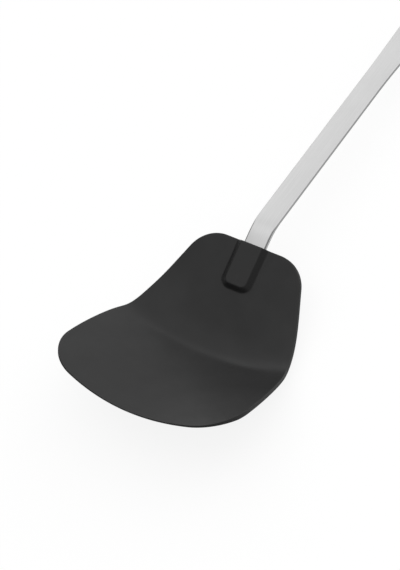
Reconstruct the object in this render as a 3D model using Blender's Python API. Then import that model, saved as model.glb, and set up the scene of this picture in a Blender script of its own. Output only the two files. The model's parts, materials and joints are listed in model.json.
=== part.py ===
"""Wok spatula: a black nylon shovel head moulded round the tang of a flat stainless handle.

Each piece is first drawn flat, in strip coordinates (x, s, n), and then bent into shape by bend():
x runs across the tool, s runs along its surface, from the middle of the neck's top edge (zero)
up the handle (plus) or down to the blade's tip (minus), and n is the height above the neck's
upper face. Units are metres, +Z is up and +Y runs from the blade to the handle's end. The tool
lies as it does on a table, on the heel of its head and the end of its handle, and the origin is
on the table under the middle of its box.
"""
import bpy
import bmesh
import math
import numpy as np

MM = 0.001
HALF_TURN = math.pi
QUARTER_TURN = math.pi / 2

# Head, its outline laid flat
HEAD_WIDTH = 110.0 * MM
HEAD_LENGTH = 126.0 * MM
FRONT_RADIUS = 190.0 * MM
FRONT_CORNER_RADIUS = 23.5 * MM
SIDE_CURVE_REACH = 32.3 * MM
NECK_CORNER_RADIUS = 18.5 * MM
NECK_EDGE_FLAT = 33.0 * MM

# Head, its wall, which thins towards the front edge
PLATE_THICKNESS = 2.8 * MM
FRONT_EDGE_THICKNESS = 0.8 * MM
FRONT_THINNING = 20.0 * MM
HEAD_CHAMFER = 0.3 * MM

# Head, the bend between blade and neck, and the blade's dish
NECK_RISE = math.radians(50.0)
BEND_START = 39.6 * MM
BEND_RUN = 29.8 * MM
DISH_RADIUS = 155.0 * MM
DISH_START = 21.0 * MM
DISH_RUN = 50.0 * MM

# Head, the crease at the bend's foot, tight across the middle and soft at the head's sides
CREASE_ANGLE = math.radians(20.0)
CREASE_CENTRE = 59.5 * MM
CREASE_TIGHT_RUN = 8.5 * MM
CREASE_SOFT_RUN = 30.0 * MM
CREASE_HALF = 20.0 * MM
CREASE_FADE = 32.0 * MM

# Bosses on the neck's two faces, which make room for the socket
UPPER_BOSS_HEIGHT = 2.5 * MM
LOWER_BOSS_HEIGHT = 2.1 * MM
BOSS_LENGTH = 22.8 * MM
BOSS_END_WIDTH = 12.3 * MM
BOSS_MOUTH_WIDTH = 12.6 * MM
BOSS_SIDE_RUN = 3.1 * MM
BOSS_END_RUN = 2.3 * MM
BOSS_CORNER_RADIUS = 2.9 * MM
BOSS_ROOT = 0.8 * MM

# Handle strip, cranked above the neck, then straight, then bowed and widened into a grip
STRIP_WIDTH = 13.0 * MM
STRIP_THICKNESS = 2.1 * MM
STRIP_DEPTH = 0.7 * MM
STRIP_CHAMFER = 0.3 * MM
HANDLE_LENGTH = 245.0 * MM
CRANK_START = 2.0 * MM
CRANK_RUN = 19.0 * MM
CRANK_ANGLE = math.radians(25.0)
GRIP_START = 110.0 * MM
GRIP_WIDTH = 20.0 * MM
GRIP_BOW = math.radians(9.0)
END_PAD_LENGTH = 36.0 * MM

# Tang, its socket and the two moulded pegs that lock it
TANG_LENGTH = 21.0 * MM
CLEARANCE = 0.3 * MM
PEG_DIAMETER = 4.0 * MM
PEG_SETBACK = 7.0 * MM
PEG_PITCH = 8.0 * MM
PEG_ROOT = 0.6 * MM

# Hanging slot
SLOT_WIDTH = 6.5 * MM
SLOT_LENGTH = 17.0 * MM
SLOT_SETBACK = 6.0 * MM

# How far a cutter runs past what it cuts
OVERRUN = 1.0 * MM

# Mesh counts
HEAD_COLUMNS = 24
HEAD_ROWS = 50
ARC_STEPS = 24
CRANK_ROWS = 12
GRIP_ROWS = 16
END_ROWS = 9
ROUND_STEPS = 12
PROFILE_STEPS = 6000
REST_ROUNDS = 8


def smooth_step(t):
    """0 below t = 0, 1 above t = 1, and between them an S-curve with no kink in its curvature."""
    t = np.clip(t, 0.0, 1.0)
    return t ** 3 * (t * (6.0 * t - 15.0) + 10.0)


def grip_share(s):
    """0 where the grip starts, 1 where its straight end pad starts."""
    return np.clip((s - GRIP_START) / (HANDLE_LENGTH - END_PAD_LENGTH - GRIP_START), 0.0, 1.0)


def rise(s):
    """Slope of the side view at s: level blade, crease, bend, steep neck, crank, bowed grip."""
    bend = (NECK_RISE - CREASE_ANGLE) * smooth_step((-s - BEND_START) / BEND_RUN)
    crease = CREASE_ANGLE * smooth_step((-s - CREASE_CENTRE) / CREASE_SOFT_RUN + 0.5)
    crank = CRANK_ANGLE * smooth_step((s - CRANK_START) / CRANK_RUN)
    return NECK_RISE - bend - crease - crank - GRIP_BOW * grip_share(s)


def side_view():
    """Stations s along the tool with the y and z they come to, summed up from the slope."""
    s = np.linspace(-HEAD_LENGTH - OVERRUN, HANDLE_LENGTH + OVERRUN, PROFILE_STEPS)
    slope = rise((s[1:] + s[:-1]) / 2)
    y = np.concatenate(([0.0], np.cumsum(np.cos(slope) * np.diff(s))))
    z = np.concatenate(([0.0], np.cumsum(np.sin(slope) * np.diff(s))))
    return s, y - np.interp(0.0, s, y), z - np.interp(0.0, s, z)


STATIONS, STATION_Y, STATION_Z = side_view()


def parting(run, s):
    """How far a turn by one radian, spread over a run, has moved off its own straight start."""
    t = (-s - CREASE_CENTRE) / run + 0.5
    inside = np.clip(t, 0.0, 1.0)
    return run * (inside ** 4 * (inside * (inside - 3.0) + 2.5) + np.maximum(t - 1.0, 0.0))


def crease_depth(x, s):
    """How far the tight crease in the middle lies below the soft one that the side view has."""
    share = 1.0 - smooth_step((np.abs(x) - CREASE_HALF) / CREASE_FADE)
    return share * CREASE_ANGLE * (parting(CREASE_SOFT_RUN, s) - parting(CREASE_TIGHT_RUN, s))


def bend(flat):
    """Takes rows of (x, s, n) to (x, y, z): dished, creased, then stood off the side view by n."""
    x, s, n = flat.T
    dish = smooth_step((-s - DISH_START) / DISH_RUN) / DISH_RADIUS
    height = n + dish * x ** 2 / 2 - crease_depth(x, s)
    y = np.interp(s, STATIONS, STATION_Y) - np.sin(rise(s)) * height
    z = np.interp(s, STATIONS, STATION_Z) + np.cos(rise(s)) * height
    return np.stack([x, y, z], axis=1)


def arc(centre, radius, start, stop, steps):
    """Points of an arc, from the angle start to the angle stop."""
    angle = np.linspace(start, stop, steps + 1)
    return np.array(centre) + radius * np.stack([np.cos(angle), np.sin(angle)], axis=1)


def spread(run, count):
    """The same run of points, set out again as count equal steps along its length."""
    length = np.concatenate(([0.0], np.cumsum(np.linalg.norm(np.diff(run, axis=0), axis=1))))
    at = np.linspace(0.0, length[-1], count + 1)
    return np.stack([np.interp(at, length, run[:, 0]), np.interp(at, length, run[:, 1])], axis=1)


def mirror(run):
    """A run of points on the right side, taken to the left side and turned round."""
    return (run * [-1.0, 1.0])[::-1]


def closed_loop(front, right, back):
    """Anticlockwise loop of a symmetric outline: front edge, right side, back edge, left side."""
    return np.vstack([front[:-1], right[:-1], back[:-1], mirror(right)[:-1]])


def inset(loop, distance):
    """The loop moved inwards by a distance, with its corners mitred."""
    step = np.roll(loop, -1, axis=0) - loop
    step /= np.linalg.norm(step, axis=1, keepdims=True)
    after = np.stack([step[:, 1], -step[:, 0]], axis=1)
    before = np.roll(after, 1, axis=0)
    mitre = (before + after) / (1.0 + (before * after).sum(axis=1, keepdims=True))
    return loop - mitre * np.reshape(distance, (-1, 1))


def patch(loop, columns, rows):
    """Grid of points inside a loop of four sides, blended from all four (a Coons patch)."""
    ring = np.vstack([loop, loop[:1]])
    front = ring[None, :columns + 1]
    right = ring[columns:columns + rows + 1, None]
    back = ring[None, columns + rows:2 * columns + rows + 1][:, ::-1]
    left = ring[2 * columns + rows:, None][::-1]
    u = np.linspace(0.0, 1.0, columns + 1)[None, :, None]
    v = np.linspace(0.0, 1.0, rows + 1)[:, None, None]
    sides = left * (1.0 - u) + right * u
    ends = front * (1.0 - v) + back * v
    front_chord = front[:, :1] * (1.0 - u) + front[:, -1:] * u
    back_chord = back[:, :1] * (1.0 - u) + back[:, -1:] * u
    return sides + ends - front_chord * (1.0 - v) - back_chord * v


def flat_object(name, points, faces):
    """Mesh object in strip coordinates, with its faces turned outwards."""
    mesh = bpy.data.meshes.new(name)
    mesh.from_pydata(points.tolist(), [], faces)
    work = bmesh.new()
    work.from_mesh(mesh)
    bmesh.ops.recalc_face_normals(work, faces=work.faces)
    work.to_mesh(mesh)
    work.free()
    flat = bpy.data.objects.new(name, mesh)
    bpy.context.scene.collection.objects.link(flat)
    return flat


def plate(name, loop, columns, rows, upper, lower, chamfer):
    """Closed plate over a loop, its two faces at the heights upper(s) and lower(s)."""
    upper_rim = upper(loop[:, 1])
    lower_rim = lower(loop[:, 1])
    cut = np.minimum(chamfer, (upper_rim - lower_rim) / 3)
    face = patch(inset(loop, cut), columns, rows).reshape(-1, 2)
    rings = [np.column_stack([face, upper(face[:, 1])]),
             np.column_stack([loop, upper_rim - cut]),
             np.column_stack([loop, lower_rim + cut]),
             np.column_stack([face, lower(face[:, 1])])]
    number = np.arange(len(face)).reshape(rows + 1, columns + 1)
    rim = np.concatenate([number[0, :-1], number[:-1, -1], number[-1, :0:-1], number[:0:-1, 0]])
    quads = np.stack([number[:-1, :-1], number[:-1, 1:], number[1:, 1:], number[1:, :-1]], axis=-1)
    quads = quads.reshape(-1, 4)
    wall = len(face) + np.arange(len(loop))
    loops = [rim, wall, wall + len(loop), rim + len(face) + 2 * len(loop)]
    faces = quads.tolist() + (quads[:, ::-1] + len(face) + 2 * len(loop)).tolist()
    for high, low in zip(loops[:-1], loops[1:]):
        band = np.stack([low, np.roll(low, -1), np.roll(high, -1), high], axis=1)
        faces += band.tolist()
    return flat_object(name, np.vstack(rings), faces)


def loft(name, rings):
    """Closed solid between rings of equally many points, with a cap at each end."""
    count = len(rings[0])
    index = np.arange(count)
    faces = [index.tolist()[::-1], (index + count * (len(rings) - 1)).tolist()]
    for level in range(len(rings) - 1):
        low = index + count * level
        band = np.stack([low, np.roll(low, -1), np.roll(low, -1) + count, low + count], axis=1)
        faces += band.tolist()
    return flat_object(name, np.vstack(rings), faces)


def prism(name, outline, low, high):
    """Straight solid on an outline in (x, s), from the height low to the height high."""
    rings = [np.column_stack([outline, np.full(len(outline), level)]) for level in (low, high)]
    return loft(name, rings)


def head_loop():
    """The head's outline: wide front arc, two front corners, flared sides, rounded shoulders."""
    corner_x = HEAD_WIDTH / 2 - FRONT_CORNER_RADIUS
    sweep = math.asin(corner_x / (FRONT_RADIUS - FRONT_CORNER_RADIUS))
    front_centre = FRONT_RADIUS - HEAD_LENGTH
    corner_s = front_centre - (FRONT_RADIUS - FRONT_CORNER_RADIUS) * math.cos(sweep)
    corner = (corner_x, corner_s)
    corner_middle = (sweep - QUARTER_TURN) / 2

    shoulder = np.array([NECK_EDGE_FLAT / 2, -NECK_CORNER_RADIUS])
    reach = min(SIDE_CURVE_REACH, (shoulder[1] - corner_s) / 2)
    apex = np.array([HEAD_WIDTH / 2, corner_s + reach])
    away = apex - shoulder
    lean = math.atan2(away[1], away[0]) + math.acos(NECK_CORNER_RADIUS / np.linalg.norm(away))
    side_radius = reach / math.tan(lean / 2)
    side_centre = (HEAD_WIDTH / 2 - side_radius, corner_s)
    shoulder_middle = (lean + QUARTER_TURN) / 2

    front = np.vstack([
        arc((0.0, front_centre), FRONT_RADIUS, -QUARTER_TURN, sweep - QUARTER_TURN, ARC_STEPS),
        arc(corner, FRONT_CORNER_RADIUS, sweep - QUARTER_TURN, corner_middle, ARC_STEPS)[1:]])
    right = np.vstack([
        arc(corner, FRONT_CORNER_RADIUS, corner_middle, 0.0, ARC_STEPS),
        arc(side_centre, side_radius, 0.0, lean, ARC_STEPS)[1:],
        arc(shoulder, NECK_CORNER_RADIUS, lean, shoulder_middle, ARC_STEPS)])
    back = np.vstack([
        arc(shoulder, NECK_CORNER_RADIUS, shoulder_middle, QUARTER_TURN, ARC_STEPS),
        [[0.0, 0.0]]])
    front = np.vstack([mirror(front)[:-1], front])
    back = np.vstack([back, mirror(back)[1:]])
    return closed_loop(spread(front, HEAD_COLUMNS), spread(right, HEAD_ROWS),
                       spread(back, HEAD_COLUMNS))


def head_underside(s):
    """Height of the plate's lower face, which comes up towards the front edge."""
    share = np.clip((s + HEAD_LENGTH) / FRONT_THINNING, 0.0, 1.0)
    return -FRONT_EDGE_THICKNESS - (PLATE_THICKNESS - FRONT_EDGE_THICKNESS) * share


def boss_ring(drop):
    """A boss in plan: a U that is closed towards the blade and runs off at the neck's edge. It
    grows with the share of the wall's height that it has dropped, more at its sides than its end."""
    grow = np.array([BOSS_SIDE_RUN, BOSS_END_RUN]) * drop
    centre = [BOSS_END_WIDTH / 2 - BOSS_CORNER_RADIUS, BOSS_CORNER_RADIUS - BOSS_LENGTH]
    corner = centre + arc((0.0, 0.0), 1.0, -QUARTER_TURN, 0.0, ROUND_STEPS) * (
        BOSS_CORNER_RADIUS + grow)
    right = np.vstack([corner, [[BOSS_MOUTH_WIDTH / 2 + grow[0], 0.0]]])
    return np.vstack([mirror(right), right])


def boss(name, face, height):
    """Boss on a face of the neck, rooted in the plate, with sloped walls; height may be minus."""
    rings = []
    for level in (-BOSS_ROOT / abs(height), 1.0):
        outline = boss_ring(1.0 - level)
        rings.append(np.column_stack([outline, np.full(len(outline), face + height * level)]))
    return loft(name, rings)


def peg_stations():
    """Stations of the two lock pegs along the tang."""
    return [-PEG_SETBACK, -PEG_SETBACK - PEG_PITCH]


def strip_half(s):
    """Half the handle's width at s."""
    return STRIP_WIDTH / 2 + (GRIP_WIDTH - STRIP_WIDTH) / 2 * smooth_step(grip_share(s))


def strip_loop():
    """The handle's outline: square tang, straight strip, widening grip, round end."""
    crank = np.linspace(CRANK_START, CRANK_START + CRANK_RUN, CRANK_ROWS + 1)
    grip = np.linspace(GRIP_START, HANDLE_LENGTH - END_PAD_LENGTH, GRIP_ROWS + 1)
    s = np.concatenate([[-TANG_LENGTH], crank, grip])
    end = arc((0.0, HANDLE_LENGTH - GRIP_WIDTH / 2), GRIP_WIDTH / 2, 0.0, QUARTER_TURN, END_ROWS)
    right = np.vstack([np.stack([strip_half(s), s], axis=1), end[:-1]])
    front = np.array([[-STRIP_WIDTH / 2, -TANG_LENGTH], [0.0, -TANG_LENGTH],
                      [STRIP_WIDTH / 2, -TANG_LENGTH]])
    back = np.vstack([end[-2:], mirror(end[-2:])[1:]])
    return closed_loop(front, right, back), len(right) - 1


def finished(name, base, steps, colour, roughness, metallic):
    """Runs the Boolean steps on a flat base, bends the result and gives it its material."""
    for operation, tool in steps:
        modifier = base.modifiers.new(tool.name, 'BOOLEAN')
        modifier.operation = operation
        modifier.solver = 'EXACT'
        modifier.object = tool
    graph = bpy.context.evaluated_depsgraph_get()
    mesh = bpy.data.meshes.new_from_object(base.evaluated_get(graph))
    for tool in [base] + [tool for operation, tool in steps]:
        bpy.data.objects.remove(tool)
    flat = np.empty(len(mesh.vertices) * 3)
    mesh.vertices.foreach_get('co', flat)
    mesh.vertices.foreach_set('co', bend(flat.reshape(-1, 3)).ravel())
    mesh.shade_smooth()
    mesh.set_sharp_from_angle(angle=math.radians(25.0))

    material = bpy.data.materials.new(name)
    material.use_nodes = True
    shader = material.node_tree.nodes['Principled BSDF']
    shader.inputs['Base Color'].default_value = (*colour, 1.0)
    shader.inputs['Roughness'].default_value = roughness
    shader.inputs['Metallic'].default_value = metallic
    mesh.materials.clear()
    mesh.materials.append(material)
    piece = bpy.data.objects.new(name, mesh)
    bpy.context.scene.collection.objects.link(piece)
    return piece


def shovel_head():
    """The nylon moulding: dished blade, bend, neck, two bosses, socket and lock pegs."""
    base = plate('head_flat', head_loop(), HEAD_COLUMNS, HEAD_ROWS, np.zeros_like,
                 head_underside, HEAD_CHAMFER)
    low = -STRIP_DEPTH - STRIP_THICKNESS - CLEARANCE
    high = -STRIP_DEPTH + CLEARANCE
    half = STRIP_WIDTH / 2 + CLEARANCE
    closed_end = -TANG_LENGTH - CLEARANCE
    socket = np.array([[-half, closed_end], [half, closed_end], [half, OVERRUN], [-half, OVERRUN]])
    steps = [('UNION', boss('upper_boss', 0.0, UPPER_BOSS_HEIGHT)),
             ('UNION', boss('lower_boss', -PLATE_THICKNESS, -LOWER_BOSS_HEIGHT)),
             ('DIFFERENCE', prism('socket', socket, low, high))]
    for centre in peg_stations():
        outline = arc((0.0, centre), PEG_DIAMETER / 2, 0.0, 2 * HALF_TURN, 2 * ROUND_STEPS)[:-1]
        steps.append(('UNION', prism('peg', outline, low - PEG_ROOT, high + PEG_ROOT)))
    return finished('shovel_head', base, steps, (0.045, 0.045, 0.046), 0.45, 0.0)


def handle_strip():
    """The stainless strip: tang with two lock holes, crank, straight run, bowed grip, slot."""
    loop, rows = strip_loop()
    low = -STRIP_DEPTH - STRIP_THICKNESS
    base = plate('strip_flat', loop, 2, rows, lambda s: np.full_like(s, -STRIP_DEPTH),
                 lambda s: np.full_like(s, low), STRIP_CHAMFER)
    steps = []
    for centre in peg_stations():
        outline = arc((0.0, centre), PEG_DIAMETER / 2 + CLEARANCE, 0.0, 2 * HALF_TURN,
                      2 * ROUND_STEPS)[:-1]
        steps.append(('DIFFERENCE', prism('lock_hole', outline, low - OVERRUN, OVERRUN)))
    radius = SLOT_WIDTH / 2
    far = HANDLE_LENGTH - SLOT_SETBACK - radius
    near = HANDLE_LENGTH - SLOT_SETBACK - SLOT_LENGTH + radius
    slot = np.vstack([arc((0.0, far), radius, 0.0, HALF_TURN, ROUND_STEPS),
                      arc((0.0, near), radius, HALF_TURN, 2 * HALF_TURN, ROUND_STEPS)])
    steps.append(('DIFFERENCE', prism('hanging_slot', slot, low - OVERRUN, OVERRUN)))
    return finished('handle_strip', base, steps, (0.62, 0.62, 0.61), 0.33, 1.0)


def points_of(piece):
    """The piece's points as rows of (x, y, z)."""
    points = np.empty(len(piece.data.vertices) * 3)
    piece.data.vertices.foreach_get('co', points)
    return points.reshape(-1, 3)


def lay_down(head, handle):
    """Parents both pieces to an empty that lays them on the table, on the heel and handle end."""
    slope = 0.0
    for turn in range(REST_ROUNDS):
        touching = []
        for piece in (head, handle):
            points = points_of(piece)
            touching.append(points[np.argmin(points[:, 2] - slope * points[:, 1])])
        heel, end = touching
        slope = (end[2] - heel[2]) / (end[1] - heel[1])
    tilt = math.atan(slope)
    points = np.vstack([points_of(head), points_of(handle)])
    y = points[:, 1] * math.cos(tilt) + points[:, 2] * math.sin(tilt)
    z = points[:, 2] * math.cos(tilt) - points[:, 1] * math.sin(tilt)
    rest = bpy.data.objects.new('table_rest', None)
    bpy.context.scene.collection.objects.link(rest)
    rest.rotation_euler = (-tilt, 0.0, 0.0)
    rest.location = (0.0, -(y.min() + y.max()) / 2, -z.min())
    for piece in (head, handle):
        piece.parent = rest


def main():
    for old in list(bpy.data.objects):
        bpy.data.objects.remove(old)
    lay_down(shovel_head(), handle_strip())


main()
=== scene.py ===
"""Wok spatula on a white table: a matte black nylon shovel head on a satin stainless strip handle.

Both pieces are drawn on one flat strip of coordinates (x, s, n), then bent to shape by lay(). Here x
runs across the tool, s along it from the neck's top edge (plus up the handle, minus down to the
blade's tip) and n up from the neck's upper face. Metres, +Z up.
"""
import json
import math

import bpy
import numpy as np
from mathutils import Matrix, Vector


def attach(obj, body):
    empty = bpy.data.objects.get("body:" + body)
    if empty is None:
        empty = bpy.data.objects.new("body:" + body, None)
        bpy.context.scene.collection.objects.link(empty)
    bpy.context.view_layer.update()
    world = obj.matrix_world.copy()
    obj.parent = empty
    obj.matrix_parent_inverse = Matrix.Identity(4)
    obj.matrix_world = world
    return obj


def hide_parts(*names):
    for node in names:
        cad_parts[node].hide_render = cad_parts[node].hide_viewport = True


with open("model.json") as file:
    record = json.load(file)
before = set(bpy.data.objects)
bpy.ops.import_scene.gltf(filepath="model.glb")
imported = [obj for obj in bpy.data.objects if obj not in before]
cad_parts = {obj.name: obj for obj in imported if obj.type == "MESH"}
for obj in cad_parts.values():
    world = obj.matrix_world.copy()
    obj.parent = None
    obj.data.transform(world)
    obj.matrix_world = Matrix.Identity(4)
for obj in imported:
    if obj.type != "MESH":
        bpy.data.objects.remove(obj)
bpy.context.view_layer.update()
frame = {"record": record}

# The camera stands in front and to the right, looking down on the scoop, rolled so that the handle
# leaves towards the upper right, a little over a metre away through a long lens.
FRAME_HEIGHT_PX = 570.0
FOCAL_PX = 2265.3
SENSOR = 36.0
CAMERA_PLACE = Vector((0.5377, -0.5365, 0.9185))
CAMERA_AIM = Vector((-0.0259, -0.0848, 0.0))
CAMERA_ROLL = math.radians(-22.12)

lens = bpy.data.cameras.new("camera")
lens.sensor_width = SENSOR
lens.lens = SENSOR * FOCAL_PX / FRAME_HEIGHT_PX
lens.clip_start = 0.05
lens.clip_end = 20.0
camera = bpy.data.objects.new("camera", lens)
bpy.context.scene.collection.objects.link(camera)
looking = (CAMERA_AIM - CAMERA_PLACE).to_track_quat("-Z", "Y").to_matrix().to_4x4()
rolled = looking @ Matrix.Rotation(CAMERA_ROLL, 4, "Z")
camera.matrix_world = Matrix.Translation(CAMERA_PLACE) @ rolled
bpy.context.scene.camera = camera

# The shovel head is one moulding of black nylon: a dished blade that thins to its front edge, a
# bend with a tighter crease at its foot, and a flat neck with a raised boss on each face round the
# socket for the steel tang. It lies on its heel, as high as the record's hanging pad says.
MM = 0.001
QUARTER_TURN = math.pi / 2
NECK_RISE = math.radians(50.0)
BEND_START = 39.6 * MM
BEND_RUN = 29.8 * MM
CREASE_ANGLE = math.radians(20.0)
CREASE_CENTRE = 59.5 * MM
CREASE_TIGHT_RUN = 8.5 * MM
CREASE_SOFT_RUN = 30.0 * MM
CREASE_HALF = 20.0 * MM
CREASE_FADE = 32.0 * MM
DISH_RADIUS = 155.0 * MM
DISH_START = 21.0 * MM
DISH_RUN = 50.0 * MM
HEAD_LENGTH = 126.0 * MM
HANDLE_LENGTH = 245.0 * MM
CRANK_START = 2.0 * MM
CRANK_RUN = 19.0 * MM
CRANK_ANGLE = math.radians(25.0)
GRIP_START = 110.0 * MM
GRIP_BOW = math.radians(9.0)
END_PAD_LENGTH = 36.0 * MM
STRIP_DEPTH = 0.7 * MM
PAD_POINT = 215.5 * MM


def smooth_step(t):
    """6t^5 - 15t^4 + 10t^3 with t held between 0 and 1: an S-curve with no kink in its curvature."""
    t = np.clip(t, 0.0, 1.0)
    return t ** 3 * (t * (6.0 * t - 15.0) + 10.0)


def grip_share(s):
    """0 where the grip starts, 1 where its straight end pad starts, and even between."""
    return np.clip((s - GRIP_START) / (HANDLE_LENGTH - END_PAD_LENGTH - GRIP_START), 0.0, 1.0)


def rise(s):
    """Slope at s: the neck's, less smooth steps for bend, crease and crank, less the grip's bow."""
    bend = (NECK_RISE - CREASE_ANGLE) * smooth_step((-s - BEND_START) / BEND_RUN)
    crease = CREASE_ANGLE * smooth_step((-s - CREASE_CENTRE) / CREASE_SOFT_RUN + 0.5)
    crank = CRANK_ANGLE * smooth_step((s - CRANK_START) / CRANK_RUN)
    return NECK_RISE - bend - crease - crank - GRIP_BOW * grip_share(s)


def side_view(steps=6000):
    """Stations s and the y and z they reach: the sums of cos(rise) ds and sin(rise) ds from s = 0."""
    s = np.linspace(-HEAD_LENGTH - MM, HANDLE_LENGTH + MM, steps)
    slope = rise((s[1:] + s[:-1]) / 2)
    y = np.concatenate(([0.0], np.cumsum(np.cos(slope) * np.diff(s))))
    z = np.concatenate(([0.0], np.cumsum(np.sin(slope) * np.diff(s))))
    return s, y - np.interp(0.0, s, y), z - np.interp(0.0, s, z)


STATIONS, STATION_Y, STATION_Z = side_view()


def parting(run, s):
    """How far a turn by one radian, spread over a run by the smooth step, has moved off its own
    straight start: run (t^6 - 3t^5 + 2.5t^4) inside the run, and one more metre a metre past it."""
    t = (-s - CREASE_CENTRE) / run + 0.5
    inside = np.clip(t, 0.0, 1.0)
    return run * (inside ** 4 * (inside * (inside - 3.0) + 2.5) + np.maximum(t - 1.0, 0.0))


def crease_depth(x, s):
    """Soft crease less tight crease, faded out by a smooth step from the middle to the sides."""
    share = 1.0 - smooth_step((np.abs(x) - CREASE_HALF) / CREASE_FADE)
    return share * CREASE_ANGLE * (parting(CREASE_SOFT_RUN, s) - parting(CREASE_TIGHT_RUN, s))


def bend(flat):
    """(x, s, n) to (x, y, z): height h = n + x^2 / (2 dish radius) - crease depth, stood off the
    side view by h."""
    x, s, n = flat.T
    dish = smooth_step((-s - DISH_START) / DISH_RUN) / DISH_RADIUS
    height = n + dish * x ** 2 / 2 - crease_depth(x, s)
    y = np.interp(s, STATIONS, STATION_Y) - np.sin(rise(s)) * height
    z = np.interp(s, STATIONS, STATION_Z) + np.cos(rise(s)) * height
    return np.stack([x, y, z], axis=1)


pad_mount = next(m for m in frame["record"]["mounts"] if m["name"] == "hanging_pad_front")
tilt = float(rise(np.array(PAD_POINT))) + math.atan2(pad_mount["axis"][1], pad_mount["axis"][2])
turn = np.array(Matrix.Rotation(-tilt, 3, "X"))
pad_in_strip = bend(np.array([[0.0, PAD_POINT, -STRIP_DEPTH]]))[0]
shift = np.array(pad_mount["pos_m"]) - turn @ pad_in_strip


def lay(flat):
    """Points (x, s, n) of the strip as they lie in the room: bent, tilted and set on the table."""
    return bend(flat) @ turn.T + shift


HEAD_WIDTH = 110.0 * MM
FRONT_RADIUS = 190.0 * MM
FRONT_CORNER_RADIUS = 23.5 * MM
SIDE_CURVE_REACH = 32.3 * MM
NECK_CORNER_RADIUS = 18.5 * MM
NECK_EDGE_FLAT = 33.0 * MM
PLATE_THICKNESS = 2.8 * MM
FRONT_EDGE_THICKNESS = 0.8 * MM
FRONT_THINNING = 20.0 * MM
HEAD_ROUND = 0.5 * MM
UPPER_BOSS_HEIGHT = 2.5 * MM
LOWER_BOSS_HEIGHT = 2.1 * MM
BOSS_LENGTH = 22.8 * MM
BOSS_HALF = 6.15 * MM
BOSS_TAPER = 0.0067
BOSS_SIDE_RUN = 3.1 * MM
BOSS_END_RUN = 2.3 * MM
BOSS_CORNER_RADIUS = 2.9 * MM
BOSS_FILLET = 0.25 * MM
CORE_NECK = 11.0 * MM
CORE_FRONT = 22.0 * MM
CORE_LENGTH = 28.0 * MM
CORE_COLUMNS = 32
SIDE_COLUMNS = 20
ARC_STEPS = 48
PEG_STEPS = 32
HEAD_SPANS = ((0.0, 46), (60.0 * MM, 44), (88.0 * MM, 10), (98.0 * MM, 76))
ROUND_RINGS = 4
ROUND_SHARE_OF_DEPTH = 0.45
SHARP_ANGLE = math.radians(40.0)


def arc(centre, radius, start, stop, steps=ARC_STEPS):
    """Points centre + radius (cos a, sin a) for even angles a from start to stop."""
    angle = np.linspace(start, stop, steps + 1)
    return np.array(centre) + radius * np.stack([np.cos(angle), np.sin(angle)], axis=1)


def along(run, share_lists):
    """Points of a run at lengths that step evenly from one given length to the next."""
    length = np.concatenate(([0.0], np.cumsum(np.linalg.norm(np.diff(run, axis=0), axis=1))))
    at = [np.zeros(1)]
    for stop, steps in share_lists:
        stop = length[-1] if stop is None else stop
        at.append(np.linspace(at[-1][-1], stop, steps + 1)[1:])
    at = np.concatenate(at)
    return np.stack([np.interp(at, length, run[:, 0]), np.interp(at, length, run[:, 1])], axis=1)


def mirror(run):
    """A run of points on the right side, taken to the left side and turned round."""
    return (run * [-1.0, 1.0])[::-1]


def inset(loop, distance):
    """The anticlockwise loop moved inwards by a distance, along the mitre of each corner."""
    step = np.roll(loop, -1, axis=0) - loop
    step /= np.linalg.norm(step, axis=1, keepdims=True)
    after = np.stack([step[:, 1], -step[:, 0]], axis=1)
    before = np.roll(after, 1, axis=0)
    mitre = (before + after) / (1.0 + (before * after).sum(axis=1, keepdims=True))
    return loop - mitre * np.reshape(distance, (-1, 1))


def patch(front, right, back, left, v):
    """Coons patch: the blends of opposite sides added up, less the blend of the four corners."""
    u = np.linspace(0.0, 1.0, len(front))[None, :, None]
    v = v[:, None, None]
    sides = left[:, None] * (1.0 - u) + right[:, None] * u
    ends = front[None] * (1.0 - v) + back[None] * v
    front_chord = front[0] * (1.0 - u) + front[-1] * u
    back_chord = back[0] * (1.0 - u) + back[-1] * u
    return sides + ends - front_chord * (1.0 - v) - back_chord * v


def shell(name, loop, plan, upper, lower, upper_round, lower_round):
    """Closed plate on a loop, its faces at n = upper(x, s) and lower(x, s), its rim a quarter
    round at each face, of that face's radius, with a straight wall between."""
    depth = upper(loop) - lower(loop)
    sheets = []
    rounds = []
    for face, radius, down in ((upper, upper_round, -1.0), (lower, lower_round, 1.0)):
        radius = np.minimum(radius, ROUND_SHARE_OF_DEPTH * depth)
        sheet = plan(inset(loop, radius))
        rows, columns = sheet.shape[0] - 1, sheet.shape[1] - 1
        sheet = sheet.reshape(-1, 2)
        sheets.append(np.column_stack([sheet, face(sheet)]))
        rings = []
        for angle in np.linspace(0.0, QUARTER_TURN, ROUND_RINGS + 1)[1:]:
            ring = inset(loop, radius * (1.0 - math.sin(angle)))
            drop = radius * (1.0 - math.cos(angle))
            rings.append(np.column_stack([ring, face(ring) + down * drop]))
        rounds.append(rings)
    rings = rounds[0] + rounds[1][::-1]
    points = np.vstack(sheets[:1] + rings + sheets[1:])
    number = np.arange(len(sheets[0])).reshape(rows + 1, columns + 1)
    rim = np.concatenate([number[0, :-1], number[:-1, -1], number[-1, :0:-1], number[:0:-1, 0]])
    under = len(points) - len(sheets[0])
    quads = np.stack([number[:-1, :-1], number[:-1, 1:], number[1:, 1:], number[1:, :-1]], axis=-1)
    quads = quads.reshape(-1, 4)
    loops = [rim]
    loops += [number.size + np.arange(len(loop)) + k * len(loop) for k in range(len(rings))]
    loops += [rim + under]
    bands = [np.stack([b, np.roll(b, -1), np.roll(a, -1), a], axis=1)
             for a, b in zip(loops[:-1], loops[1:])]
    faces = np.vstack([quads, quads[:, ::-1] + under] + bands)
    mesh = bpy.data.meshes.new(name)
    mesh.from_pydata(points.tolist(), [], faces.tolist())
    return mesh


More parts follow.
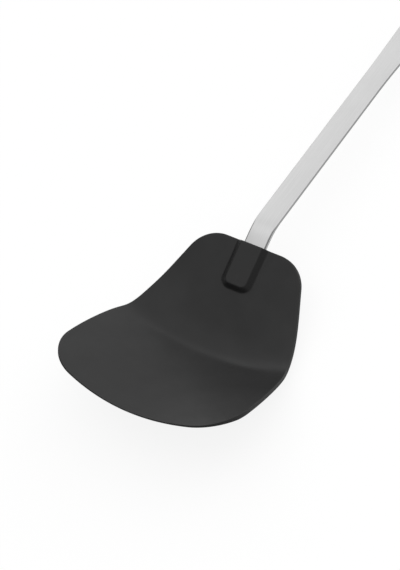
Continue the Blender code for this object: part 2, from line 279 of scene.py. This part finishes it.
def prism(name, outlines, levels):
    """Closed solid whose outline (x, s) goes from one to the next as n goes through the levels."""
    count = len(outlines[0])
    index = np.arange(count)
    points = np.vstack([np.column_stack([o, np.full(count, n)]) for o, n in zip(outlines, levels)])
    faces = [index[::-1].tolist(), (index + count * (len(levels) - 1)).tolist()]
    for level in range(len(levels) - 1):
        low = index + count * level
        band = np.stack([low, np.roll(low, -1), np.roll(low, -1) + count, low + count], axis=1)
        faces += band.tolist()
    mesh = bpy.data.meshes.new(name)
    mesh.from_pydata(points.tolist(), [], faces)
    return mesh


def shown(name, mesh):
    """Links a mesh into the scene as an object at the origin."""
    thing = bpy.data.objects.new(name, mesh)
    bpy.context.scene.collection.objects.link(thing)
    return thing


def finished(name, mesh, steps, upper, lower):
    """Cuts and joins a flat mesh and lays it out. Two attributes stay with it: its strip
    coordinates, and edge = 4 t (1 - t), where t goes from 0 on the lower face to 1 on the upper."""
    base = shown(name + "_flat", mesh)
    tools = []
    for operation, tool in steps:
        tools.append(shown(tool.name, tool))
        cut = base.modifiers.new(tool.name, "BOOLEAN")
        cut.operation = operation
        cut.solver = "EXACT"
        cut.object = tools[-1]
    graph = bpy.context.evaluated_depsgraph_get()
    mesh = bpy.data.meshes.new_from_object(base.evaluated_get(graph))
    for spare in [base] + tools:
        bpy.data.objects.remove(spare)
    flat = np.empty(len(mesh.vertices) * 3)
    mesh.vertices.foreach_get("co", flat)
    strip = mesh.attributes.new("strip", "FLOAT_VECTOR", "POINT")
    strip.data.foreach_set("vector", flat)
    flat = flat.reshape(-1, 3)
    t = np.clip((flat[:, 2] - lower(flat)) / (upper(flat) - lower(flat)), 0.0, 1.0)
    edge = mesh.attributes.new("edge", "FLOAT", "POINT")
    edge.data.foreach_set("value", 4.0 * t * (1.0 - t))
    mesh.vertices.foreach_set("co", lay(flat).ravel())
    mesh.shade_smooth()
    mesh.set_sharp_from_angle(angle=SHARP_ANGLE)
    piece = shown(name, mesh)
    weighted = piece.modifiers.new("flat_faces_stay_flat", "WEIGHTED_NORMAL")
    weighted.keep_sharp = True
    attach(piece, "root")
    return piece


def rounded_ramp(t, radius):
    """0 below t = 0 and t above it, with the corner replaced by a parabola from -radius to radius."""
    return np.where(t < -radius, 0.0, np.where(t > radius, t, (t + radius) ** 2 / (4.0 * radius)))


def boss_height(flat):
    """Share of full height: 1 inside a tapered, rounded U, falling evenly to 0 over the wall, whose
    run changes round the corner from the sides' to the end's with the square of the sine."""
    x, s = flat[..., 0], flat[..., 1]
    half = BOSS_HALF + BOSS_TAPER * (s + BOSS_LENGTH) - BOSS_CORNER_RADIUS
    across = np.abs(x) - half
    down = -s - (BOSS_LENGTH - BOSS_CORNER_RADIUS)
    away = np.hypot(np.maximum(across, 0.0), np.maximum(down, 0.0))
    away = away + np.minimum(np.maximum(across, down), 0.0) - BOSS_CORNER_RADIUS
    end_square = np.maximum(down, 0.0) ** 2
    both_squares = end_square + np.maximum(across, 0.0) ** 2
    end_share = end_square / np.maximum(both_squares, BOSS_FILLET ** 2)
    run = BOSS_SIDE_RUN + (BOSS_END_RUN - BOSS_SIDE_RUN) * end_share
    fall = rounded_ramp(away, BOSS_FILLET) - rounded_ramp(away - run, BOSS_FILLET)
    return 1.0 - fall / run


def head_upper(flat):
    """Upper face: flat at n = 0, with the boss on it."""
    return UPPER_BOSS_HEIGHT * boss_height(flat)


def head_lower(flat):
    """Lower face: a plate's thickness down, rising evenly to the front edge, with its own boss."""
    share = np.clip((flat[..., 1] + HEAD_LENGTH) / FRONT_THINNING, 0.0, 1.0)
    plate = FRONT_EDGE_THICKNESS + (PLATE_THICKNESS - FRONT_EDGE_THICKNESS) * share
    return -plate - LOWER_BOSS_HEIGHT * boss_height(flat)


def head_rows():
    """Shares of the way from front edge to neck edge: even steps within a span from each start,
    finer over the crease and finest at the boss."""
    starts = [start for start, _ in HEAD_SPANS] + [HEAD_LENGTH]
    spans = [np.linspace(a, b, steps, endpoint=False)
             for (_, steps), a, b in zip(HEAD_SPANS, starts[:-1], starts[1:])]
    return np.concatenate(spans + [[HEAD_LENGTH]]) / HEAD_LENGTH


def head_loop():
    """Outline of the head: front arc, front corners, sides that curve into straight flanks, and
    rounded shoulders; the flank is the tangent from a point beside the blade to the shoulder."""
    corner_x = HEAD_WIDTH / 2 - FRONT_CORNER_RADIUS
    sweep = math.asin(corner_x / (FRONT_RADIUS - FRONT_CORNER_RADIUS))
    front_centre = FRONT_RADIUS - HEAD_LENGTH
    corner = (corner_x, front_centre - (FRONT_RADIUS - FRONT_CORNER_RADIUS) * math.cos(sweep))
    corner_middle = (sweep - QUARTER_TURN) / 2
    shoulder = np.array([NECK_EDGE_FLAT / 2, -NECK_CORNER_RADIUS])
    away = np.array([HEAD_WIDTH / 2, corner[1] + SIDE_CURVE_REACH]) - shoulder
    lean = math.atan2(away[1], away[0]) + math.acos(NECK_CORNER_RADIUS / np.linalg.norm(away))
    side_radius = SIDE_CURVE_REACH / math.tan(lean / 2)
    shoulder_middle = (lean + QUARTER_TURN) / 2
    front = np.vstack([
        arc((0.0, front_centre), FRONT_RADIUS, -QUARTER_TURN, sweep - QUARTER_TURN),
        arc(corner, FRONT_CORNER_RADIUS, sweep - QUARTER_TURN, corner_middle)[1:]])
    right = np.vstack([
        arc(corner, FRONT_CORNER_RADIUS, corner_middle, 0.0),
        arc((HEAD_WIDTH / 2 - side_radius, corner[1]), side_radius, 0.0, lean)[1:],
        arc(shoulder, NECK_CORNER_RADIUS, lean, shoulder_middle)])
    back = np.vstack([
        [[0.0, 0.0]],
        arc(shoulder, NECK_CORNER_RADIUS, QUARTER_TURN, shoulder_middle)])
    front = along(front, [(CORE_FRONT, CORE_COLUMNS), (None, SIDE_COLUMNS)])
    back = along(back, [(CORE_NECK, CORE_COLUMNS), (None, SIDE_COLUMNS)])
    s = right[0, 1] + (right[-1, 1] - right[0, 1]) * head_rows()
    right = np.stack([np.interp(s, right[:, 1], right[:, 0]), s], axis=1)
    front = np.vstack([mirror(front)[:-1], front])
    back = np.vstack([back[::-1][:-1], mirror(back[::-1])])
    return np.vstack([front[:-1], right[:-1], back[:-1], mirror(right)[:-1]])


def head_plan(loop):
    """Grid inside the head's loop: three Coons patches side by side. The lines between them run
    straight beside the boss and then fan out to the front edge."""
    columns = 2 * (CORE_COLUMNS + SIDE_COLUMNS)
    v = head_rows()
    rows = len(v) - 1
    ring = np.vstack([loop, loop[:1]])
    front = ring[:columns + 1]
    right = ring[columns:columns + rows + 1]
    back = ring[columns + rows:2 * columns + rows + 1][::-1]
    left = ring[2 * columns + rows:][::-1]
    seams = [left]
    for column in (SIDE_COLUMNS, SIDE_COLUMNS + 2 * CORE_COLUMNS):
        a, b = front[column], back[column]
        s = a[1] + (b[1] - a[1]) * v
        x = b[0] + (a[0] - b[0]) * smooth_step((-s - CORE_LENGTH) / (-a[1] - CORE_LENGTH))
        seams.append(np.stack([x, s], axis=1))
    seams.append(right)
    cuts = [0, SIDE_COLUMNS, SIDE_COLUMNS + 2 * CORE_COLUMNS, columns]
    parts = [patch(front[cuts[k]:cuts[k + 1] + 1], seams[k + 1],
                   back[cuts[k]:cuts[k + 1] + 1], seams[k], v) for k in range(3)]
    return np.concatenate([parts[0], parts[1][:, 1:], parts[2][:, 1:]], axis=1)


STRIP_WIDTH = 13.0 * MM
STRIP_THICKNESS = 2.1 * MM
TANG_LENGTH = 21.0 * MM
CLEARANCE = 0.3 * MM
PEG_DIAMETER = 4.0 * MM
PEG_STATIONS = (-7.0 * MM, -15.0 * MM)
PEG_ROOT = 0.6 * MM
strip_low = -STRIP_DEPTH - STRIP_THICKNESS
socket_low = strip_low - CLEARANCE
socket_high = -STRIP_DEPTH + CLEARANCE
socket_half = STRIP_WIDTH / 2 + CLEARANCE
socket = np.array([[-socket_half, -TANG_LENGTH - CLEARANCE], [socket_half, -TANG_LENGTH - CLEARANCE],
                   [socket_half, MM], [-socket_half, MM]])
head_steps = [("DIFFERENCE", prism("socket", [socket, socket], [socket_low, socket_high]))]
for station in PEG_STATIONS:
    peg = arc((0.0, station), PEG_DIAMETER / 2, 0.0, 4 * QUARTER_TURN, PEG_STEPS)[:-1]
    head_steps.append(("UNION", prism("peg", [peg, peg],
                                      [socket_low - PEG_ROOT, socket_high + PEG_ROOT])))
head = finished("nylon_shovel_head",
                shell("head", head_loop(), head_plan, head_upper, head_lower,
                      HEAD_ROUND, HEAD_ROUND),
                head_steps, head_upper, head_lower)
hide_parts("shovel_head")


def add(tree, kind, **inputs):
    """Adds a shader node. A socket's name with _ for each space gives its value or its source."""
    node = tree.nodes.new("ShaderNode" + kind)
    for key, value in inputs.items():
        if hasattr(node, key):
            setattr(node, key, value)
            continue
        socket = next(i for i in node.inputs if i.enabled and i.name.replace(" ", "_") == key)
        if isinstance(value, bpy.types.NodeSocket):
            tree.links.new(value, socket)
        else:
            socket.default_value = value
    return node


NOISE_LOW = 0.3
NOISE_HIGH = 0.7


def mottle_group():
    """Node group for slow, cloudy change over a surface: a noise of the given size in metres,
    spread between a low and a high value. Both finishes use it for wear and handling."""
    group = bpy.data.node_groups.new("mottle", "ShaderNodeTree")
    group.interface.new_socket("Vector", in_out="INPUT", socket_type="NodeSocketVector")
    for name in ("Per Metre", "Detail", "Low", "High"):
        group.interface.new_socket(name, in_out="INPUT", socket_type="NodeSocketFloat")
    group.interface.new_socket("Value", in_out="OUTPUT", socket_type="NodeSocketFloat")
    given = group.nodes.new("NodeGroupInput").outputs
    noise = add(group, "TexNoise", Vector=given["Vector"], Scale=given["Per Metre"],
                Detail=given["Detail"], Roughness=0.55)
    spread = add(group, "MapRange", interpolation_type="SMOOTHSTEP", Value=noise.outputs[0],
                 From_Min=NOISE_LOW, From_Max=NOISE_HIGH, To_Min=given["Low"],
                 To_Max=given["High"])
    result = group.nodes.new("NodeGroupOutput")
    group.links.new(spread.outputs[0], result.inputs["Value"])
    return group


MOTTLE = mottle_group()


def mottle(tree, vector, per_metre, detail, low, high):
    """Places the mottle group in a material and gives its value."""
    node = tree.nodes.new("ShaderNodeGroup")
    node.node_tree = MOTTLE
    tree.links.new(vector, node.inputs["Vector"])
    for name, value in (("Per Metre", per_metre), ("Detail", detail), ("Low", low), ("High", high)):
        node.inputs[name].default_value = value
    return node.outputs["Value"]


NYLON = (0.0172, 0.0172, 0.0173)
NYLON_TONES = (0.9, 1.1)
NYLON_ROUGHNESS = (0.36, 0.42)
NYLON_SPECULAR = 0.35
# Painted shade: the boss's side walls and the rim get their base colour darkened by these factors.
BOSS_WALL_PAINTED_SHADE = 0.72
RIM_PAINTED_SHADE = 0.6
RIM_ROUGHNESS = 0.7
RIM_BEGINS = 0.2
RIM_FULL = 0.7
TONE_FADE = 0.3 * MM
TEXTURE_PER_METRE = 2600.0
TEXTURE_DEPTH = 0.02 * MM


def black_nylon():
    """Black nylon with a fine spark-eroded mould texture: nearly black under a broad, soft sheen.
    The boss's side walls and the rim carry painted shade in a darker base colour; the rim is duller."""
    material = bpy.data.materials.new("black_nylon")
    material.use_nodes = True
    tree = material.node_tree
    shader = tree.nodes["Principled BSDF"]
    strip = add(tree, "Attribute", attribute_name="strip").outputs["Vector"]
    place = add(tree, "SeparateXYZ", Vector=strip).outputs
    across = add(tree, "Math", operation="ABSOLUTE")
    tree.links.new(place["X"], across.inputs[0])
    # Painted shade: the base colour is darker on the boss's side walls, from just above their foot to
    # just below their top.
    beside = add(tree, "MapRange", interpolation_type="SMOOTHSTEP", Value=across.outputs[0],
                 From_Min=BOSS_HALF - 2 * TONE_FADE, From_Max=BOSS_HALF, To_Min=0.0, To_Max=1.0)
    above_foot = add(tree, "MapRange", interpolation_type="SMOOTHSTEP", Value=place["Z"],
                     From_Min=0.0, From_Max=TONE_FADE, To_Min=0.0, To_Max=beside.outputs[0])
    wall = add(tree, "MapRange", interpolation_type="SMOOTHSTEP", Value=place["Z"],
               From_Min=UPPER_BOSS_HEIGHT - TONE_FADE, From_Max=UPPER_BOSS_HEIGHT,
               To_Min=above_foot.outputs[0], To_Max=0.0)
    tone = add(tree, "MapRange", Value=wall.outputs[0],
               To_Min=mottle(tree, strip, 45.0, 3.0, *NYLON_TONES), To_Max=BOSS_WALL_PAINTED_SHADE)
    edge = add(tree, "Attribute", attribute_name="edge").outputs["Fac"]
    # Painted shade: the rim's base colour is darker as well.
    tone_with_painted_shade = add(tree, "MapRange", interpolation_type="SMOOTHSTEP", Value=edge,
                   From_Min=RIM_BEGINS, From_Max=RIM_FULL, To_Min=tone.outputs[0],
                   To_Max=RIM_PAINTED_SHADE)
    colour = add(tree, "VectorMath", operation="SCALE", Vector=NYLON, Scale=tone_with_painted_shade.outputs[0])
    tree.links.new(colour.outputs["Vector"], shader.inputs["Base Color"])
    rough = add(tree, "MapRange", interpolation_type="SMOOTHSTEP", Value=edge,
                From_Min=RIM_BEGINS, From_Max=RIM_FULL,
                To_Min=mottle(tree, strip, 60.0, 4.0, *NYLON_ROUGHNESS), To_Max=RIM_ROUGHNESS)
    tree.links.new(rough.outputs[0], shader.inputs["Roughness"])
    texture = add(tree, "TexNoise", Vector=strip, Scale=TEXTURE_PER_METRE, Detail=2.0,
                  Roughness=0.6)
    bump = add(tree, "Bump", Strength=0.25, Distance=TEXTURE_DEPTH, Height=texture.outputs[0])
    tree.links.new(bump.outputs["Normal"], shader.inputs["Normal"])
    shader.inputs["Specular IOR Level"].default_value = NYLON_SPECULAR
    return material


head.data.materials.clear()
head.data.materials.append(black_nylon())

# The handle is one pressed strip of stainless steel: a square tang with two lock holes inside the
# socket, a crank, a straight run, then a bowed grip that widens to a round end with a hanging slot.
# Its faces are a little crowned and brushed along the strip. Its sheared sides are duller and carry
# painted shade, and where the crank was pressed its upper arris is rounder and its arrises carry
# painted shade.
GRIP_WIDTH = 20.0 * MM
STRIP_CROWN = 0.1 * MM
STRIP_ROUND = 0.4 * MM
CRANK_ROUND = 0.9 * MM
CRANK_ROUND_FROM = 8.0 * MM
CRANK_ROUND_RUN = 8.0 * MM
SLOT_WIDTH = 6.5 * MM
SLOT_LENGTH = 17.0 * MM
SLOT_SETBACK = 6.0 * MM
SLOT_ROUND = 0.45 * MM
SLOT_MOUTH_GROWTH = 1.125 * MM
SLOT_OVERRUN = 0.135 * MM
FLARE_STEPS = 6
FLARE_STOP = 0.12
END_STEPS = 8
SLOT_END_STEPS = 20
STRIP_COLUMNS = 16
STRIP_PITCH = 1.2 * MM


def strip_half(s):
    """Half the handle's width: the strip's, plus a smooth step up to the grip's."""
    return STRIP_WIDTH / 2 + (GRIP_WIDTH - STRIP_WIDTH) / 2 * smooth_step(grip_share(s))


def strip_loop():
    """Outline of the handle: square tang end, two sides, and a half circle shared between the
    sides and the end so that the grid inside stays square."""
    radius = GRIP_WIDTH / 2
    centre = (0.0, HANDLE_LENGTH - radius)
    s = np.linspace(-TANG_LENGTH, centre[1], round((centre[1] + TANG_LENGTH) / STRIP_PITCH))
    right = np.vstack([np.stack([strip_half(s), s], axis=1),
                       arc(centre, radius, 0.0, QUARTER_TURN / 2, END_STEPS)[1:]])
    back = arc(centre, radius, QUARTER_TURN / 2, 3 * QUARTER_TURN / 2, STRIP_COLUMNS)
    x = np.linspace(-STRIP_WIDTH / 2, STRIP_WIDTH / 2, STRIP_COLUMNS + 1)
    front = np.stack([x, np.full_like(x, -TANG_LENGTH)], axis=1)
    return np.vstack([front[:-1], right[:-1], back[:-1], mirror(right)[:-1]])


def strip_plan(loop):
    """Grid inside the handle's loop: one Coons patch, its rows where the sides' points are."""
    rows = len(loop) // 2 - STRIP_COLUMNS
    ring = np.vstack([loop, loop[:1]])
    right = ring[STRIP_COLUMNS:STRIP_COLUMNS + rows + 1]
    back = ring[STRIP_COLUMNS + rows:2 * STRIP_COLUMNS + rows + 1][::-1]
    left = ring[2 * STRIP_COLUMNS + rows:][::-1]
    v = (right[:, 1] - right[0, 1]) / (right[-1, 1] - right[0, 1])
    return patch(ring[:STRIP_COLUMNS + 1], right, back, left, v)


def stadium(grow):
    """Outline of the hanging slot: two half circles with straight sides, grown by an offset."""
    radius = SLOT_WIDTH / 2
    far = HANDLE_LENGTH - SLOT_SETBACK - radius
    near = HANDLE_LENGTH - SLOT_SETBACK - SLOT_LENGTH + radius
    half_turn = 2 * QUARTER_TURN
    return np.vstack([
        arc((0.0, far), radius + grow, 0.0, half_turn, SLOT_END_STEPS),
        arc((0.0, near), radius + grow, half_turn, 2 * half_turn, SLOT_END_STEPS)])


def flared_slot():
    """Cutter for the slot: straight in the middle, flaring along a quarter round at both faces."""
    angles = np.linspace(QUARTER_TURN, FLARE_STOP * QUARTER_TURN, FLARE_STEPS)
    flare = SLOT_ROUND * (1.0 - np.sin(angles))
    rise_up = SLOT_ROUND * np.cos(angles)
    high = -STRIP_DEPTH - SLOT_ROUND + rise_up
    low = strip_low + SLOT_ROUND - rise_up
    outer = stadium(SLOT_MOUTH_GROWTH)
    outlines = [outer] + [stadium(g) for g in flare[::-1]] + [stadium(g) for g in flare] + [outer]
    levels = [strip_low - SLOT_OVERRUN, *low[::-1], *high, -STRIP_DEPTH + SLOT_OVERRUN]
    return prism("slot", outlines, levels)


def crown(flat):
    """How far a face has fallen from the strip's middle line: crown * (x / half the width)^2."""
    return STRIP_CROWN * (flat[..., 0] / strip_half(flat[..., 1])) ** 2


def strip_upper(flat):
    """Upper face of the strip, a little below the neck's, and crowned."""
    return -STRIP_DEPTH - crown(flat)


def strip_lower(flat):
    """Lower face of the strip, its thickness further down, and crowned the other way."""
    return strip_low + crown(flat)


def strip_round(s):
    """Radius of the upper arrises: the strip's, stepping smoothly up to the crank's below it."""
    near = 1.0 - smooth_step((s - CRANK_ROUND_FROM) / CRANK_ROUND_RUN)
    return STRIP_ROUND + (CRANK_ROUND - STRIP_ROUND) * near


strip_steps = [("DIFFERENCE", flared_slot())]
for station in PEG_STATIONS:
    hole = arc((0.0, station), PEG_DIAMETER / 2 + CLEARANCE, 0.0, 4 * QUARTER_TURN, PEG_STEPS)[:-1]
    strip_steps.append(("DIFFERENCE", prism("lock_hole", [hole, hole], [strip_low - MM, MM])))
outline = strip_loop()
handle = finished("steel_handle_strip",
                  shell("strip", outline, strip_plan, strip_upper, strip_lower,
                        strip_round(outline[:, 1]), STRIP_ROUND),
                  strip_steps, strip_upper, strip_lower)
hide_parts("handle_strip")


STEEL = (0.65, 0.65, 0.65)
BRUSH_PER_METRE = 3000.0
BRUSH_STRETCH = 0.012
BRUSH_DEPTH = 0.01 * MM
BRUSH_TONES = (0.93, 1.05)
BRUSH_ROUGHNESS = (0.30, 0.40)
WEAR = (-0.03, 0.03)
SIDE_BEGINS = 0.1
SIDE_FULL = 0.5
# Painted shade: the sides' base colour is darkened by these factors, less near the crank.
SIDE_PAINTED_SHADE = 0.59
SIDE_PAINTED_SHADE_AT_CRANK = 0.85
SIDE_ROUGHNESS = 0.55
# Painted shade near the crank: the arrises get a darker base colour, fading out along the strip.
CRANK_SHADE_FULL = 7.0 * MM
CRANK_SHADE_GONE = 15.0 * MM
ARRIS_PAINTED_SHADE_AT_CRANK = 0.52
ARRIS_BEGINS = (0.005, 0.06)
ARRIS_ENDS = (0.45, 0.8)


def satin_steel():
    """Stainless steel brushed along the strip: long fine lines in its tone, gloss and height. The
    sides are duller and carry painted shade, less at the crank, where the arrises have the darkest
    painted shade."""
    material = bpy.data.materials.new("satin_steel")
    material.use_nodes = True
    tree = material.node_tree
    shader = tree.nodes["Principled BSDF"]
    strip = add(tree, "Attribute", attribute_name="strip").outputs["Vector"]
    drawn = add(tree, "VectorMath", operation="MULTIPLY", Vector=strip)
    drawn.inputs[1].default_value = (1.0, BRUSH_STRETCH, 1.0)
    lines = add(tree, "TexNoise", Vector=drawn.outputs[0], Scale=BRUSH_PER_METRE, Detail=3.0,
                Roughness=0.7).outputs[0]
    tone = add(tree, "MapRange", Value=lines, From_Min=NOISE_LOW, From_Max=NOISE_HIGH,
               To_Min=BRUSH_TONES[0], To_Max=BRUSH_TONES[1])
    edge = add(tree, "Attribute", attribute_name="edge").outputs["Fac"]
    along_strip = add(tree, "SeparateXYZ", Vector=strip).outputs["Y"]
    at_crank = add(tree, "MapRange", interpolation_type="SMOOTHSTEP", Value=along_strip,
                   From_Min=CRANK_SHADE_FULL, From_Max=CRANK_SHADE_GONE, To_Min=1.0,
                   To_Max=0.0).outputs[0]
    # Painted shade: the sides' base colour is darker, less so near the crank.
    side_shade = add(tree, "MapRange", Value=at_crank, To_Min=SIDE_PAINTED_SHADE, To_Max=SIDE_PAINTED_SHADE_AT_CRANK)
    brush_tone_and_side_shade = add(tree, "MapRange", interpolation_type="SMOOTHSTEP", Value=edge,
                  From_Min=SIDE_BEGINS, From_Max=SIDE_FULL, To_Min=tone.outputs[0],
                  To_Max=side_shade.outputs[0])
    # Painted shade: the arrises' base colour is darker near the crank.
    begun = add(tree, "MapRange", interpolation_type="SMOOTHSTEP", Value=edge,
                From_Min=ARRIS_BEGINS[0], From_Max=ARRIS_BEGINS[1], To_Min=0.0, To_Max=at_crank)
    arris = add(tree, "MapRange", interpolation_type="SMOOTHSTEP", Value=edge,
                From_Min=ARRIS_ENDS[0], From_Max=ARRIS_ENDS[1], To_Min=begun.outputs[0],
                To_Max=0.0)
    arris_shade = add(tree, "MapRange", Value=arris.outputs[0], To_Min=1.0,
                  To_Max=ARRIS_PAINTED_SHADE_AT_CRANK)
    shade = add(tree, "Math", operation="MULTIPLY")
    tree.links.new(brush_tone_and_side_shade.outputs[0], shade.inputs[0])
    tree.links.new(arris_shade.outputs[0], shade.inputs[1])
    colour = add(tree, "VectorMath", operation="SCALE", Vector=STEEL, Scale=shade.outputs[0])
    tree.links.new(colour.outputs["Vector"], shader.inputs["Base Color"])
    gloss = add(tree, "MapRange", Value=lines, From_Min=NOISE_LOW, From_Max=NOISE_HIGH,
                To_Min=BRUSH_ROUGHNESS[0], To_Max=BRUSH_ROUGHNESS[1])
    faces = add(tree, "Math", operation="ADD")
    tree.links.new(gloss.outputs[0], faces.inputs[0])
    tree.links.new(mottle(tree, strip, 40.0, 4.0, *WEAR), faces.inputs[1])
    rough = add(tree, "MapRange", interpolation_type="SMOOTHSTEP", Value=edge,
                From_Min=SIDE_BEGINS, From_Max=SIDE_FULL, To_Min=faces.outputs[0],
                To_Max=SIDE_ROUGHNESS)
    tree.links.new(rough.outputs[0], shader.inputs["Roughness"])
    bump = add(tree, "Bump", Strength=0.25, Distance=BRUSH_DEPTH, Height=lines)
    tree.links.new(bump.outputs["Normal"], shader.inputs["Normal"])
    shader.inputs["Metallic"].default_value = 1.0
    return material


handle.data.materials.clear()
handle.data.materials.append(satin_steel())

# The table is a wide pale sheet. Where it is looked at or mirrored it shows mostly as its own white,
# so that it meets the white behind it, and the rest of its light still carries the tool's shadow.
TABLE_HALF = 12.0
TABLE_DROP = 0.1 * MM
TABLE_WHITE = (0.9, 0.9, 0.9, 1.0)
WHITE = (1.0, 1.0, 1.0, 1.0)
TABLE_GLOW = 1.08
GLOW_SHARE = 0.8
corners = np.array([[-1, -1, 0], [1, -1, 0], [1, 1, 0], [-1, 1, 0]]) * TABLE_HALF
corners = corners - [0.0, 0.0, TABLE_DROP]
table_mesh = bpy.data.meshes.new("table")
table_mesh.from_pydata(corners.tolist(), [], [(0, 1, 2, 3)])
table = shown("table", table_mesh)


def seen_by(tree):
    """1 for a ray from the camera, off a gloss or through glass, 0 for a ray of plain light."""
    path = add(tree, "LightPath").outputs
    either = add(tree, "Math", operation="MAXIMUM")
    tree.links.new(path["Is Camera Ray"], either.inputs[0])
    tree.links.new(path["Is Glossy Ray"], either.inputs[1])
    all_three = add(tree, "Math", operation="MAXIMUM")
    tree.links.new(either.outputs[0], all_three.inputs[0])
    tree.links.new(path["Is Transmission Ray"], all_three.inputs[1])
    return all_three.outputs[0]


def table_white():
    """Diffuse white, mixed with a white glow for the rays that see the background."""
    material = bpy.data.materials.new("table_white")
    material.use_nodes = True
    tree = material.node_tree
    tree.nodes.clear()
    diffuse = add(tree, "BsdfDiffuse", Color=TABLE_WHITE)
    glow = add(tree, "Emission", Color=WHITE, Strength=TABLE_GLOW)
    share = add(tree, "Math", operation="MULTIPLY")
    share.inputs[1].default_value = GLOW_SHARE
    tree.links.new(seen_by(tree), share.inputs[0])
    mix = add(tree, "MixShader", Fac=share.outputs[0])
    tree.links.new(diffuse.outputs[0], mix.inputs[1])
    tree.links.new(glow.outputs[0], mix.inputs[2])
    output = add(tree, "OutputMaterial")
    tree.links.new(mix.outputs[0], output.inputs["Surface"])
    return material


table.data.materials.append(table_white())

# The light is a plain white studio of five soft lamps: overhead, a wide wall behind the tool, one to
# its left towards the back, one high on the left, and a fill from the camera's side. A low white
# wall runs all round the table where it would meet the dark.
LOW_WALL_TOP = 0.065

world = bpy.data.worlds.new("studio")
bpy.context.scene.world = world
world.use_nodes = True
tree = world.node_tree
direction = add(tree, "TexCoord").outputs["Generated"]


def soft_lamp(level, azimuth, elevation, power):
    """Brightness level * cos(angle from the lamp's axis) ^ power, and none on the far side. The
    axis points to the lamp, in degrees: azimuth anticlockwise from +X, elevation up from the table."""
    azimuth, elevation = math.radians(azimuth), math.radians(elevation)
    axis = (math.cos(elevation) * math.cos(azimuth), math.cos(elevation) * math.sin(azimuth),
            math.sin(elevation))
    cosine = add(tree, "VectorMath", operation="DOT_PRODUCT", Vector=direction)
    cosine.inputs[1].default_value = axis
    near_side = add(tree, "Math", operation="MAXIMUM")
    near_side.inputs[1].default_value = 0.0
    tree.links.new(cosine.outputs["Value"], near_side.inputs[0])
    shaped = add(tree, "Math", operation="POWER")
    shaped.inputs[1].default_value = power
    tree.links.new(near_side.outputs[0], shaped.inputs[0])
    scaled = add(tree, "Math", operation="MULTIPLY")
    scaled.inputs[1].default_value = level
    tree.links.new(shaped.outputs[0], scaled.inputs[0])
    return scaled.outputs[0]


def joined(operation, first, second):
    """Two brightnesses made one, by adding them or by taking the larger."""
    node = add(tree, "Math", operation=operation)
    tree.links.new(first, node.inputs[0])
    tree.links.new(second, node.inputs[1])
    return node.outputs[0]


height = add(tree, "SeparateXYZ", Vector=direction).outputs["Z"]
low_wall = add(tree, "Math", operation="LESS_THAN")
low_wall.inputs[1].default_value = LOW_WALL_TOP
tree.links.new(height, low_wall.inputs[0])
overhead = soft_lamp(level=0.7, azimuth=0.0, elevation=90.0, power=7.0)
wall_behind = soft_lamp(level=1.5, azimuth=73.0, elevation=28.0, power=3.3)
left_and_back = soft_lamp(level=1.15, azimuth=145.0, elevation=31.0, power=14.0)
high_left = soft_lamp(level=0.9, azimuth=194.0, elevation=58.0, power=12.5)
front_fill = soft_lamp(level=0.6, azimuth=298.0, elevation=34.0, power=3.0)
light = overhead
for lamp in (wall_behind, left_and_back, high_left, front_fill):
    light = joined("ADD", light, lamp)
background = tree.nodes["Background"]
background.inputs["Color"].default_value = WHITE
tree.links.new(joined("MAXIMUM", low_wall.outputs[0], light), background.inputs["Strength"])

bpy.context.scene.view_settings.view_transform = "Standard"
